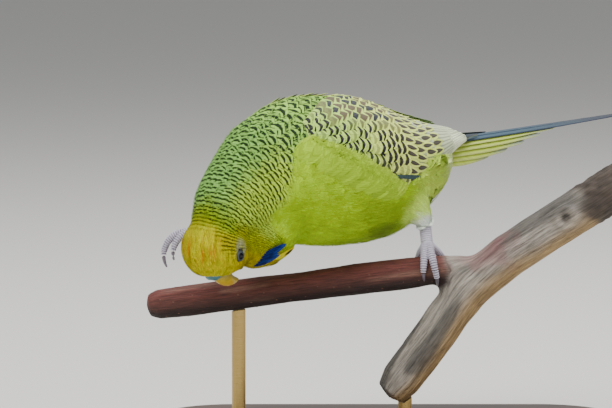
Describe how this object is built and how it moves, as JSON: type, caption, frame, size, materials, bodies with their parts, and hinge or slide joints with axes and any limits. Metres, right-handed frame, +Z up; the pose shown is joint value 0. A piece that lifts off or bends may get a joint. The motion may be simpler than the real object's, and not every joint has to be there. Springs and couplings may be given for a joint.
{
  "type": "budgerigar, still life-size model on a perch with a display stand",
  "caption": "Life-size still model of a budgerigar leaning down along a forked perch, head low, tail up behind, held on a plain display stand.",
  "frame": {"origin": "middle of the box round the whole part, on the floor under the stand's base", "axes": "+Z up, +X along the perch from its free end, where the head is, towards the forked limb and the tail, -Y the side that the bird's left flank faces"},
  "size_m": [0.1738, 0.1332, 0.1229],
  "materials": {
    "face_feathers": "soft yellow feathers with a slight sheen",
    "barred_feathers": "green-yellow feathers with fine black bars",
    "green_feathers": "plain soft yellow-green feathers",
    "wing_feathers": "dark-centred feathers with pale yellow edges",
    "tail_feathers": "slate-blue to teal vanes",
    "thigh_feathers": "pale green feathers that turn white",
    "bare_skin": "lilac-grey scaly skin",
    "bill_horn": "yellow-olive horn",
    "cere_skin": "blue-green waxy skin",
    "claw_horn": "grey horn",
    "eye": "dark moist eye",
    "red_bark": "thin reddish-brown bark",
    "weathered_wood": "bare grey weathered wood",
    "stand_wood": "dark satin lacquered wood",
    "stand_brass": "brushed brass"
  },
  "bodies": {
    "root": {"head": "face_feathers", "neck": "barred_feathers", "trunk": "green_feathers", "tail": "tail_feathers", "wing_left": "wing_feathers", "wing_right": "wing_feathers", "thigh_left": "thigh_feathers", "thigh_right": "thigh_feathers", "foot_left": "bare_skin", "foot_right": "bare_skin", "bill_upper": "bill_horn", "bill_lower": "bill_horn", "cere": "cere_skin", "eye_left": "eye", "eye_right": "eye", "perch_branch": "red_bark", "perch_fork": "weathered_wood", "stand_base": "stand_wood", "stand_rod_branch": "stand_brass", "stand_rod_limb": "stand_brass", "claw_left_inner_front": "claw_horn", "claw_left_outer_front": "claw_horn", "claw_left_inner_back": "claw_horn", "claw_left_outer_back": "claw_horn", "claw_right_inner_front": "claw_horn", "claw_right_outer_front": "claw_horn", "claw_right_inner_back": "claw_horn", "claw_right_outer_back": "claw_horn"}
  },
  "joints": []
}
